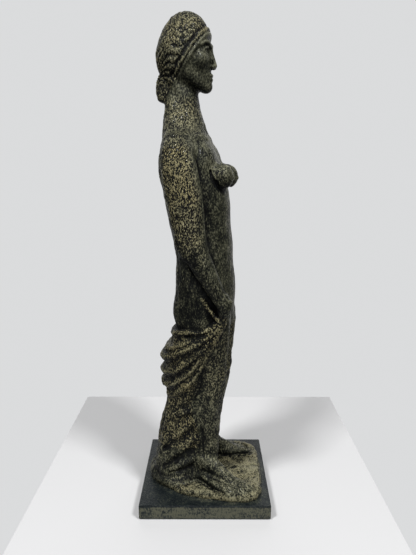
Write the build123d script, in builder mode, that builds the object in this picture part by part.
"""Bronze statuette: a standing woman who holds a cloth behind her thighs, on a square plate.

The figure is a set of bronze castings, pinned and bolted together from below:
head, torso, two arms, two legs, drapery and a terrace of modelled ground, on a
hollow-backed plate. +Z is up, the origin is the middle of the underside, and the
plate's front edge faces -Y. The figure stands turned a little towards -X, so its
castings are laid out in a figure frame that is turned about Z. All sizes are in
millimetres.
"""

from build123d import *

import os
from math import cos, radians, sin

# --- Driving dimensions -------------------------------------------------------------
PLATE_SIDE = 145.0
PLATE_TOP = 17.0
FELT_THICKNESS = 1.0
FELT_INSET = 2.0
PLATE_WEB = 5.5
PLATE_RIM = 8.0
PLATE_EDGE_RADIUS = 1.2
TERRACE_TOP = 23.0
SEAT_OF_HIPS = 205.0
NECK_JOINT = 432.0
HEAD_TOP = 536.0
FIGURE_TURN = -10.0
WALL = 4.0
HIP_FLOOR = 12.0
SEAM_GAP = 0.4

# The left foot stands further back and the left hand is held further back than the right.
LEFT_ANKLE_BACK = 6.5
LEFT_HAND_BACK = 10.0

# Figure-frame places of the hardware.
ROD_X, ROD_Y = 22.0, -6.0
DRAPERY_SCREW_X, DRAPERY_SCREW_Y = 22.0, 36.0
NECK_Y = 23.0
TORSO_PIN_Z, HEAD_PIN_Z = 427.5, 438.0
TORSO_PIN_HALF, HEAD_PIN_HALF = 17.8, 16.4
SHOULDER_DOWEL = (17.0, 391.0)
DOWEL_INNER, DOWEL_OUTER = 33.0, 56.0
HAND_PIN_X, HAND_PIN_Y, HAND_JOINT = 45.5, -29.5, 226.0
HAND_PIN_BOTTOM, HAND_PIN_TOP = 216.0, 236.0

# Threads and fasteners.
ROD_RADIUS, ROD_CLEARANCE_RADIUS = 3.0, 3.3
SCREW_RADIUS, SCREW_CLEARANCE_RADIUS = 2.5, 2.8
SCREW_HEAD_RADIUS, SCREW_HEAD_HEIGHT = 4.25, 5.0
SCREW_HEX_RADIUS, SCREW_HEX_DEPTH = 2.3, 2.5
WASHER_RADIUS, WASHER_THICKNESS = 6.0, 1.2
NUT_RADIUS, NUT_HEIGHT = 5.77, 5.0
NECK_BORE_RADIUS, NECK_SLEEVE_WALL, NECK_SLEEVE_HALF = 12.5, 3.0, 12.0
NECK_PIN_RADIUS = 1.5
DOWEL_RADIUS = 4.0
HAND_PIN_RADIUS = 1.8

os.makedirs("parts", exist_ok=True)

TURN_COS, TURN_SIN = cos(radians(FIGURE_TURN)), sin(radians(FIGURE_TURN))
SIDEWAYS = (TURN_COS, TURN_SIN, 0)


def turned(x, y, z):
    """A point of the figure frame in the part's frame."""
    return (x * TURN_COS - y * TURN_SIN, x * TURN_SIN + y * TURN_COS, z)


def level(x, y, z, lean=0.0):
    """A section plane at a figure-frame point, leaning forward by lean degrees."""
    normal = turned(0, -sin(radians(lean)), cos(radians(lean)))
    return Plane(origin=turned(x, y, z), x_dir=SIDEWAYS, z_dir=normal)


def stack(rows, inset=0.0, mode=Mode.ADD, ruled=False):
    """Lofts ellipses through rows of (x, y, z, half width, half depth[, lean])."""
    sections = []
    for x, y, z, half_width, half_depth, *lean in rows:
        with BuildSketch(level(x, y, z, *lean)) as section:
            Ellipse(half_width - inset, half_depth - inset)
        sections.append(section.sketch)
    loft(sections=sections, ruled=ruled, mode=mode)


def core(rows, inset=0.0):
    """Cuts a straight-sided hollow through the same kind of rows."""
    stack(rows, inset, Mode.SUBTRACT, ruled=True)


def ball(x, y, z, half_width, half_depth, half_height):
    """An ellipsoid at a figure-frame point."""
    unit_ball = Sphere(1, mode=Mode.PRIVATE)
    shape = scale(unit_ball, by=(half_width, half_depth, half_height), mode=Mode.PRIVATE)
    return shape.moved(Location(turned(x, y, z), (0, 0, FIGURE_TURN)))


def upright(x, y, z_low, z_high, radius, mode=Mode.ADD):
    """A vertical cylinder at a figure-frame place."""
    with BuildSketch(level(x, y, z_low)) as disc:
        Circle(radius)
    extrude(disc.sketch, amount=z_high - z_low, mode=mode)


def crosswise(x_low, x_high, y, z, radius, mode=Mode.ADD):
    """A cylinder along the figure's sideways axis."""
    with BuildSketch(Plane(turned(x_low, y, z), x_dir=(0, 0, 1), z_dir=SIDEWAYS)) as disc:
        Circle(radius)
    extrude(disc.sketch, amount=x_high - x_low, mode=mode)


def held(rows, side):
    """Rows of (x, y, ...) for the arm or the gathered cloth on one side."""
    back = LEFT_HAND_BACK if side > 0 else 0.0
    return [(side * x, y + back * min(1.0, max(0.0, -y / 28.0)), *rest) for x, y, *rest in rows]


def save(shape, name):
    """Labels a finished piece and writes it as one STEP file."""
    shape.label = name
    export_step(shape, f"parts/{name}.step")


# --- Where the fasteners under the plate stand, in the part's frame ------------------
ROD_SPOTS = [turned(side * ROD_X, ROD_Y, 0)[:2] for side in (-1, 1)]
DRAPERY_SPOTS = [turned(side * DRAPERY_SCREW_X, DRAPERY_SCREW_Y, 0)[:2] for side in (-1, 1)]
TERRACE_SPOTS = [(-48, -46), (48, -46), (-41, 14), (41, 14)]
POCKET_TOP = PLATE_TOP - PLATE_WEB

# --- Base plate ----------------------------------------------------------------------
with BuildPart() as base_plate:
    with BuildSketch(Plane.XY.offset(FELT_THICKNESS)):
        RectangleRounded(PLATE_SIDE, PLATE_SIDE, 2 * PLATE_EDGE_RADIUS)
    extrude(amount=PLATE_TOP - FELT_THICKNESS)
    fillet(base_plate.faces().sort_by(Axis.Z)[-1].edges(), PLATE_EDGE_RADIUS)
    with BuildSketch(Plane.XY.offset(FELT_THICKNESS)):
        RectangleRounded(PLATE_SIDE - 2 * PLATE_RIM, PLATE_SIDE - 2 * PLATE_RIM, 6)
    extrude(amount=POCKET_TOP - FELT_THICKNESS, mode=Mode.SUBTRACT)
    with BuildSketch(Plane.XY.offset(POCKET_TOP)):
        with Locations(*ROD_SPOTS):
            Circle(ROD_CLEARANCE_RADIUS)
        with Locations(*DRAPERY_SPOTS, *TERRACE_SPOTS):
            Circle(SCREW_CLEARANCE_RADIUS)
    extrude(amount=PLATE_WEB, mode=Mode.SUBTRACT)
save(base_plate.part, "base_plate")

with BuildPart() as felt_sheet:
    with BuildSketch():
        RectangleRounded(PLATE_SIDE - 2 * FELT_INSET, PLATE_SIDE - 2 * FELT_INSET, 2)
    extrude(amount=FELT_THICKNESS)
save(felt_sheet.part, "felt_sheet")

# --- Legs ----------------------------------------------------------------------------
# Rows run down from the hips: x, y, z, half width, half depth, for a leg at +x.
LEG_ROWS = [
    (23.5, -1.5, SEAT_OF_HIPS, 20.8, 29.0),
    (23.0, -5.0, 182.0, 20.2, 24.5),
    (21.5, -10.5, 156.0, 16.5, 18.5),
    (21.5, -9.0, 138.0, 16.0, 17.5),
    (22.0, -8.3, 118.0, 15.0, 16.0),
    (22.0, -8.0, 92.0, 11.5, 12.0),
    (22.0, -9.5, 68.0, 9.5, 10.5),
    (22.0, -9.0, 50.0, 10.0, 12.5),
    (22.0, -7.0, 30.0, 10.5, 14.0),
    (22.0, -7.0, TERRACE_TOP, 10.0, 13.5),
]
LEG_CORE_BOTTOM = 4  # the cored length ends at this row, and the shank below is solid
# A foot runs from the heel outwards and forwards: distance, half width, height.
FOOT_ROWS = [
    (0.0, 9.0, 26.0),
    (14.0, 10.0, 24.0),
    (32.0, 13.0, 15.0),
    (46.0, 14.5, 9.5),
    (62.0, 11.0, 6.0),
]
# For each foot: how far it is turned out, where its heel is, and its length to the right one's.
FEET = {-1: (28.0, 2.0, 1.0), 1: (22.0, 9.0, 0.9)}


def leg_rows(side):
    """The rows of one leg. The left one runs further back below the knee."""
    back = LEFT_ANKLE_BACK if side > 0 else 0.0
    rows = []
    for x, y, z, *rest in LEG_ROWS:
        share = min(1.0, max(0.0, (160.0 - z) / 80.0))
        rows.append((side * x, y + back * share**2, z, *rest))
    return rows


def foot(side, mode=Mode.ADD):
    """A wedge-shaped foot from heel to toes, with its sole on the terrace."""
    turn, heel_y, stretch = FEET[side]
    along = turned(side * sin(radians(turn)), -cos(radians(turn)), 0)
    sections = []
    for distance, half_width, height in FOOT_ROWS:
        x = side * (ROD_X + stretch * distance * sin(radians(turn)))
        y = heel_y - stretch * distance * cos(radians(turn))
        middle = turned(x, y, TERRACE_TOP + height / 2)
        with BuildSketch(Plane(middle, x_dir=(0, 0, 1), z_dir=along)) as section:
            RectangleRounded(height, 2 * half_width, 0.44 * min(height, 2 * half_width))
        sections.append(section.sketch)
    loft(sections=sections, ruled=True, mode=mode)


def leg(side):
    """One leg with its foot, cored from the hips to the calf and drilled for the tie rod."""
    rows = leg_rows(side)
    with BuildPart() as made:
        stack(rows)
        foot(side)
        core(rows[: LEG_CORE_BOTTOM + 1], WALL)
        upright(side * ROD_X, ROD_Y, TERRACE_TOP, SEAT_OF_HIPS, ROD_CLEARANCE_RADIUS, Mode.SUBTRACT)
    return made.part


save(leg(-1), "right_leg")
save(leg(1), "left_leg")

# --- Torso ---------------------------------------------------------------------------
TORSO_ROWS = [
    (0.0, 1.5, SEAT_OF_HIPS, 46.0, 33.5),
    (0.0, 1.5, 225.0, 49.0, 35.0),
    (0.0, 1.5, 250.0, 48.5, 32.5),
    (0.0, 1.0, 280.0, 42.5, 30.5),
    (0.0, 6.0, 315.0, 39.0, 32.5),
    (0.0, 10.0, 345.0, 41.0, 34.5),
    (0.0, 14.0, 372.0, 43.0, 34.5),
    (0.0, 17.5, 395.0, 43.0, 30.5),
    (0.0, 20.5, 411.0, 34.0, 25.5),
    (0.0, 22.5, 423.0, 26.5, 22.0),
    (0.0, NECK_Y, NECK_JOINT, 22.0, 20.0),
]
BREAST = (18.5, -17.0, 368.0, 14.0, 16.0, 14.0)
DOWEL_BOSS_RADIUS, DOWEL_BOSS_START, DOWEL_BOSS_END = 8.0, 26.0, 40.0

with BuildPart() as torso:
    stack(TORSO_ROWS)
    for side in (-1, 1):
        add(ball(side * BREAST[0], *BREAST[1:]))
    core_rows = [(0.0, 1.5, SEAT_OF_HIPS + HIP_FLOOR, 47.0, 34.0), *TORSO_ROWS[1:-1]]
    core(core_rows, WALL)
    for side in (-1, 1):
        near, far = sorted((side * DOWEL_BOSS_START, side * DOWEL_BOSS_END))
        crosswise(near, far, *SHOULDER_DOWEL, DOWEL_BOSS_RADIUS)
    for side in (-1, 1):
        near, far = sorted((side * DOWEL_INNER, side * DOWEL_OUTER))
        crosswise(near, far, *SHOULDER_DOWEL, DOWEL_RADIUS, Mode.SUBTRACT)
        upright(side * ROD_X, ROD_Y, SEAT_OF_HIPS, SEAT_OF_HIPS + HIP_FLOOR, ROD_RADIUS, Mode.SUBTRACT)
    upright(0, NECK_Y, NECK_JOINT - NECK_SLEEVE_HALF, NECK_JOINT, NECK_BORE_RADIUS, Mode.SUBTRACT)
    crosswise(-TORSO_PIN_HALF, TORSO_PIN_HALF, NECK_Y, TORSO_PIN_Z, NECK_PIN_RADIUS, Mode.SUBTRACT)
save(torso.part, "torso")

# --- Head ----------------------------------------------------------------------------
NECK_ROWS = [
    (0.0, NECK_Y, NECK_JOINT, 22.0, 20.0),
    (0.0, NECK_Y + 0.5, 446.0, 19.0, 18.0),
    (0.0, NECK_Y + 1.0, 462.0, 17.5, 19.0),
]
SKULL_HALF_WIDTH, SKULL_HALF_DEPTH, SKULL_HALF_HEIGHT = 28.0, 29.5, 40.0
SKULL_Y, SKULL_Z = 22.0, HEAD_TOP - SKULL_HALF_HEIGHT
JAW = (0.0, 9.0, 474.5, 18.0, 15.0, 18.0)
CHIGNON = (0.0, 44.5, 461.0, 11.0, 8.0, 18.0)
HEAD_CORE_RADIUS, HEAD_CORE_TOP = 10.0, 476.0

with BuildPart() as head:
    stack(NECK_ROWS)
    add(ball(0, SKULL_Y, SKULL_Z, SKULL_HALF_WIDTH, SKULL_HALF_DEPTH, SKULL_HALF_HEIGHT))
    add(ball(*JAW))
    add(ball(*CHIGNON))
    inner = [half - WALL for half in (SKULL_HALF_WIDTH, SKULL_HALF_DEPTH, SKULL_HALF_HEIGHT)]
    add(ball(0, SKULL_Y, SKULL_Z, *inner), mode=Mode.SUBTRACT)
    upright(0, NECK_Y, NECK_JOINT, NECK_JOINT + NECK_SLEEVE_HALF, NECK_BORE_RADIUS, Mode.SUBTRACT)
    upright(0, NECK_Y, NECK_JOINT + NECK_SLEEVE_HALF, HEAD_CORE_TOP, HEAD_CORE_RADIUS, Mode.SUBTRACT)
    crosswise(-HEAD_PIN_HALF, HEAD_PIN_HALF, NECK_Y, HEAD_PIN_Z, NECK_PIN_RADIUS, Mode.SUBTRACT)
save(head.part, "head")

with BuildPart() as neck_sleeve:
    sleeve_bottom, sleeve_top = NECK_JOINT - NECK_SLEEVE_HALF, NECK_JOINT + NECK_SLEEVE_HALF
    upright(0, NECK_Y, sleeve_bottom, sleeve_top, NECK_BORE_RADIUS)
    upright(0, NECK_Y, sleeve_bottom, sleeve_top, NECK_BORE_RADIUS - NECK_SLEEVE_WALL, Mode.SUBTRACT)
    crosswise(-TORSO_PIN_HALF, TORSO_PIN_HALF, NECK_Y, TORSO_PIN_Z, NECK_PIN_RADIUS, Mode.SUBTRACT)
    crosswise(-HEAD_PIN_HALF, HEAD_PIN_HALF, NECK_Y, HEAD_PIN_Z, NECK_PIN_RADIUS, Mode.SUBTRACT)
save(neck_sleeve.part, "neck_sleeve")

with BuildPart() as neck_pins:
    crosswise(-TORSO_PIN_HALF, TORSO_PIN_HALF, NECK_Y, TORSO_PIN_Z, NECK_PIN_RADIUS)
    crosswise(-HEAD_PIN_HALF, HEAD_PIN_HALF, NECK_Y, HEAD_PIN_Z, NECK_PIN_RADIUS)
save(neck_pins.part, "neck_pins")

# --- Arms ----------------------------------------------------------------------------
# Rows run down from the shoulder: x, y, z, half width, half depth, lean, for an arm at +x.
ARM_ROWS = [
    (46.0, 19.0, 409.0, 8.0, 10.0, 0.0),
    (51.0, 19.5, 400.0, 11.5, 15.0, 0.0),
    (54.0, 18.0, 383.0, 12.0, 18.0, 0.0),
    (55.0, 12.0, 352.0, 11.5, 19.0, -6.0),
    (55.0, 7.0, 318.0, 11.0, 17.5, -10.0),
    (54.0, 2.0, 300.0, 11.0, 15.5, -18.0),
    (53.0, -3.0, 285.0, 10.5, 12.5, -25.0),
    (50.0, -15.0, 261.0, 9.0, 9.5, -30.0),
    (48.0, -22.0, 249.0, 8.0, 8.5, -25.0),
    (46.0, -28.5, 237.0, 8.5, 9.0, -12.0),
    (HAND_PIN_X, HAND_PIN_Y, HAND_JOINT, 7.0, 7.0, 0.0),
]


def arm(side):
    """One arm with its closed hand, seated against the shoulder and drilled for its pins."""
    rows = held(ARM_ROWS, side)
    pin_x, pin_y = held([(HAND_PIN_X, HAND_PIN_Y)], side)[0]
    near, far = sorted((side * DOWEL_INNER, side * DOWEL_OUTER))
    with BuildPart() as made:
        stack(rows)
        stack(TORSO_ROWS, -SEAM_GAP, Mode.SUBTRACT)
        crosswise(near, far, *SHOULDER_DOWEL, DOWEL_RADIUS, Mode.SUBTRACT)
        upright(pin_x, pin_y, HAND_JOINT, HAND_PIN_TOP, HAND_PIN_RADIUS, Mode.SUBTRACT)
    return made.part


save(arm(-1), "right_arm")
save(arm(1), "left_arm")

with BuildPart() as shoulder_dowels:
    for side in (-1, 1):
        near, far = sorted((side * DOWEL_INNER, side * DOWEL_OUTER))
        crosswise(near, far, *SHOULDER_DOWEL, DOWEL_RADIUS)
save(shoulder_dowels.part, "shoulder_dowels")

with BuildPart() as hand_pins:
    for side in (-1, 1):
        pin_x, pin_y = held([(HAND_PIN_X, HAND_PIN_Y)], side)[0]
        upright(pin_x, pin_y, HAND_PIN_BOTTOM, HAND_PIN_TOP, HAND_PIN_RADIUS)
save(hand_pins.part, "hand_pins")

# --- Drapery -------------------------------------------------------------------------
# The cloth sags behind the thighs between the two hands and hangs to the ground.
DRAPERY_ROWS = [
    (0.0, 12.0, SEAT_OF_HIPS - SEAM_GAP, 46.5, 25.5),
    (0.0, 14.0, 186.0, 46.0, 28.5),
    (0.0, 16.0, 165.0, 44.5, 32.0),
    (0.0, 17.0, 140.0, 42.0, 33.0),
    (0.0, 22.0, 115.0, 38.0, 24.5),
    (0.0, 27.0, 90.0, 38.0, 24.5),
    (0.0, 29.0, 60.0, 38.0, 26.5),
    (0.0, 28.0, TERRACE_TOP, 40.0, 31.0),
]
# The bunched cloth below each hand, for the hand at +x.
GATHER_ROWS = [
    (HAND_PIN_X, HAND_PIN_Y, HAND_JOINT - SEAM_GAP, 5.0, 5.0),
    (45.5, -27.5, 216.0, 5.0, 6.5),
    (45.0, -20.0, 205.0, 5.0, 10.0),
    (43.0, -8.0, 187.0, 6.5, 17.0),
    (40.0, 3.0, 168.0, 7.0, 17.0),
    (36.0, 12.0, 150.0, 6.0, 12.0),
]
DRAPERY_CORE_ROWS = [
    (0.0, 30.0, 185.0, 20.0, 5.5),
    (0.0, 29.0, 150.0, 26.0, 13.0),
    (0.0, 28.0, 115.0, 24.0, 12.0),
    (0.0, 30.0, 60.0, 26.0, 18.0),
    (0.0, 30.0, TERRACE_TOP, 28.0, 20.0),
]
BOSS_RADIUS, BOSS_HEIGHT = 7.0, 16.0
DRAPERY_SCREW_TIP = TERRACE_TOP + 12.0

with BuildPart() as drapery:
    stack(DRAPERY_ROWS)
    for side in (-1, 1):
        stack(held(GATHER_ROWS, side))
    stack(TORSO_ROWS, -SEAM_GAP, Mode.SUBTRACT)
    core(DRAPERY_CORE_ROWS)
    for side in (-1, 1):
        stack(leg_rows(side), -SEAM_GAP, Mode.SUBTRACT)
        foot(side, Mode.SUBTRACT)
        pin_x, pin_y = held([(HAND_PIN_X, HAND_PIN_Y)], side)[0]
        screw_x = side * DRAPERY_SCREW_X
        upright(screw_x, DRAPERY_SCREW_Y, TERRACE_TOP, TERRACE_TOP + BOSS_HEIGHT, BOSS_RADIUS)
        upright(screw_x, DRAPERY_SCREW_Y, TERRACE_TOP, DRAPERY_SCREW_TIP, SCREW_RADIUS, Mode.SUBTRACT)
        upright(pin_x, pin_y, HAND_PIN_BOTTOM, HAND_JOINT, HAND_PIN_RADIUS, Mode.SUBTRACT)
save(drapery.part, "drapery")

# --- Terrace of modelled ground ------------------------------------------------------
TERRACE_OUTLINE = [
    (2, 65), (-16, 60), (-32, 50), (-46, 34), (-57, 14), (-62, -10), (-66, -32), (-66, -50), (-54, -61),
    (-26, -65), (17, -66), (36, -64), (50, -57), (57, -42), (57, -14), (54, 17), (44, 42), (24, 61),
]
TERRACE_EDGE = 2.0
TERRACE_SCREW_TIP = TERRACE_TOP - 1.5

with BuildPart() as terrace:
    with BuildSketch(Plane.XY.offset(PLATE_TOP)):
        with BuildLine():
            Spline(*TERRACE_OUTLINE, periodic=True)
        make_face()
    extrude(amount=TERRACE_TOP - PLATE_TOP)
    chamfer(terrace.faces().sort_by(Axis.Z)[-1].edges(), TERRACE_EDGE)
    with BuildSketch(Plane.XY.offset(PLATE_TOP)):
        with Locations(*ROD_SPOTS):
            Circle(ROD_CLEARANCE_RADIUS)
        with Locations(*DRAPERY_SPOTS):
            Circle(SCREW_CLEARANCE_RADIUS)
    extrude(amount=TERRACE_TOP - PLATE_TOP, mode=Mode.SUBTRACT)
    with BuildSketch(Plane.XY.offset(PLATE_TOP)):
        with Locations(*TERRACE_SPOTS):
            Circle(SCREW_RADIUS)
    extrude(amount=TERRACE_SCREW_TIP - PLATE_TOP, mode=Mode.SUBTRACT)
save(terrace.part, "terrace")

# --- Fasteners from below ------------------------------------------------------------
FASTENER_SEAT = POCKET_TOP - WASHER_THICKNESS
ROD_BOTTOM = FASTENER_SEAT - NUT_HEIGHT - 1.5
ROD_TOP = SEAT_OF_HIPS + HIP_FLOOR - 1.0


def washers(spots, bore_radius):
    """Flat washers against the plate's web."""
    with BuildPart() as made:
        with BuildSketch(Plane.XY.offset(FASTENER_SEAT)):
            with Locations(*spots):
                Circle(WASHER_RADIUS)
                Circle(bore_radius, mode=Mode.SUBTRACT)
        extrude(amount=WASHER_THICKNESS)
    return made.part


def screws(spots, tip):
    """Socket-head screws, heads down, that reach up to z = tip."""
    head_bottom = FASTENER_SEAT - SCREW_HEAD_HEIGHT
    with BuildPart() as made:
        with BuildSketch(Plane.XY.offset(head_bottom)):
            with Locations(*spots):
                Circle(SCREW_HEAD_RADIUS)
        extrude(amount=SCREW_HEAD_HEIGHT)
        with BuildSketch(Plane.XY.offset(FASTENER_SEAT)):
            with Locations(*spots):
                Circle(SCREW_RADIUS)
        extrude(amount=tip - FASTENER_SEAT)
        with BuildSketch(Plane.XY.offset(head_bottom)):
            with Locations(*spots):
                RegularPolygon(SCREW_HEX_RADIUS, 6)
        extrude(amount=SCREW_HEX_DEPTH, mode=Mode.SUBTRACT)
    return made.part


with BuildPart() as tie_rods:
    with BuildSketch(Plane.XY.offset(ROD_BOTTOM)):
        with Locations(*ROD_SPOTS):
            Circle(ROD_RADIUS)
    extrude(amount=ROD_TOP - ROD_BOTTOM)
save(tie_rods.part, "tie_rods")

with BuildPart() as tie_rod_nuts:
    with BuildSketch(Plane.XY.offset(FASTENER_SEAT - NUT_HEIGHT)):
        with Locations(*ROD_SPOTS):
            RegularPolygon(NUT_RADIUS, 6)
            Circle(ROD_RADIUS, mode=Mode.SUBTRACT)
    extrude(amount=NUT_HEIGHT)
save(tie_rod_nuts.part, "tie_rod_nuts")

save(washers(ROD_SPOTS, ROD_CLEARANCE_RADIUS), "tie_rod_washers")
save(screws(DRAPERY_SPOTS, DRAPERY_SCREW_TIP - 0.5), "drapery_screws")
save(washers(DRAPERY_SPOTS, SCREW_CLEARANCE_RADIUS), "drapery_screw_washers")
save(screws(TERRACE_SPOTS, TERRACE_SCREW_TIP - 0.5), "terrace_screws")
save(washers(TERRACE_SPOTS, SCREW_CLEARANCE_RADIUS), "terrace_screw_washers")
